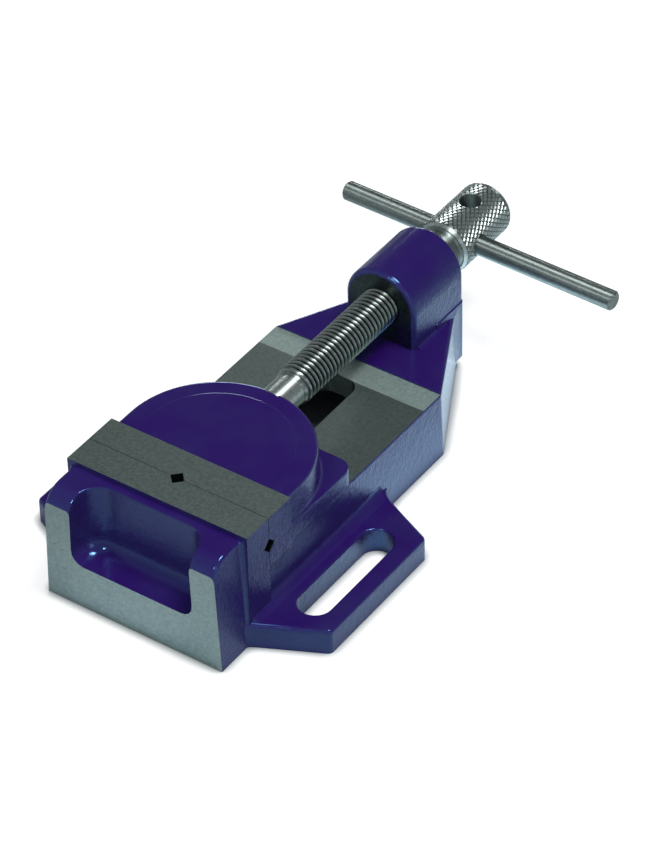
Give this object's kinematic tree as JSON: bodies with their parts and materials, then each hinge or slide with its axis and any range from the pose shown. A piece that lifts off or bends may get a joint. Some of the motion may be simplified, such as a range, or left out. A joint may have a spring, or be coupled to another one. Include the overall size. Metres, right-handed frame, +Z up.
{
  "type": "drill press vise",
  "caption": "Low cast drill press vise with slotted bolt-down lugs, a sliding jaw with vee grooves, a screw through a rear boss and a sliding tommy bar.",
  "frame": {"origin": "on the base plane, on the centre line, straight below the joint line of the closed jaws", "axes": "+X across the jaws to the right, +Y along the screw from the jaws to its head, +Z up from the base"},
  "size_m": [0.1735, 0.2937, 0.0758],
  "materials": {
    "casting_enamel": "glossy violet-blue enamel on an iron casting, with milled and ground faces left bare",
    "screw_steel": "bright turned steel with a cut thread and a knurled head",
    "bar_steel": "ground",
    "plate_steel": "milled",
    "fastener_steel": "blackened",
    "spring_steel": "plain",
    "pin_steel": "ground"
  },
  "bodies": {
    "frame": {"vise_body": "casting_enamel"},
    "jaw": {"sliding_jaw": "casting_enamel", "keeper_plate": "plate_steel", "keeper_screw_front": "fastener_steel", "keeper_screw_rear": "fastener_steel", "lock_washer_front": "spring_steel", "lock_washer_rear": "spring_steel", "retaining_pin_left": "pin_steel", "retaining_pin_right": "pin_steel"},
    "screw": {"lead_screw": "screw_steel"},
    "bar": {"tommy_bar": "bar_steel"}
  },
  "joints": [
    {"name": "jaw_slide", "type": "slide", "parent": "frame", "child": "jaw", "axis": [0, 1, 0], "range_m": [0, 0.06491]},
    {"name": "screw_turn", "type": "hinge", "parent": "jaw", "child": "screw", "pos_m": [0, 0.0757, 0.05575], "axis": [0, 1, 0], "range_deg": [0, 8280]},
    {"name": "bar_slide", "type": "slide", "parent": "screw", "child": "bar", "axis": [0.9998, 0, -0.0218], "range_m": [-0.0737, 0.0481]}
  ],
  "couplings": [
    {"joint": "screw_turn", "follows": "jaw_slide", "rad_per_m": 2226.3}
  ]
}
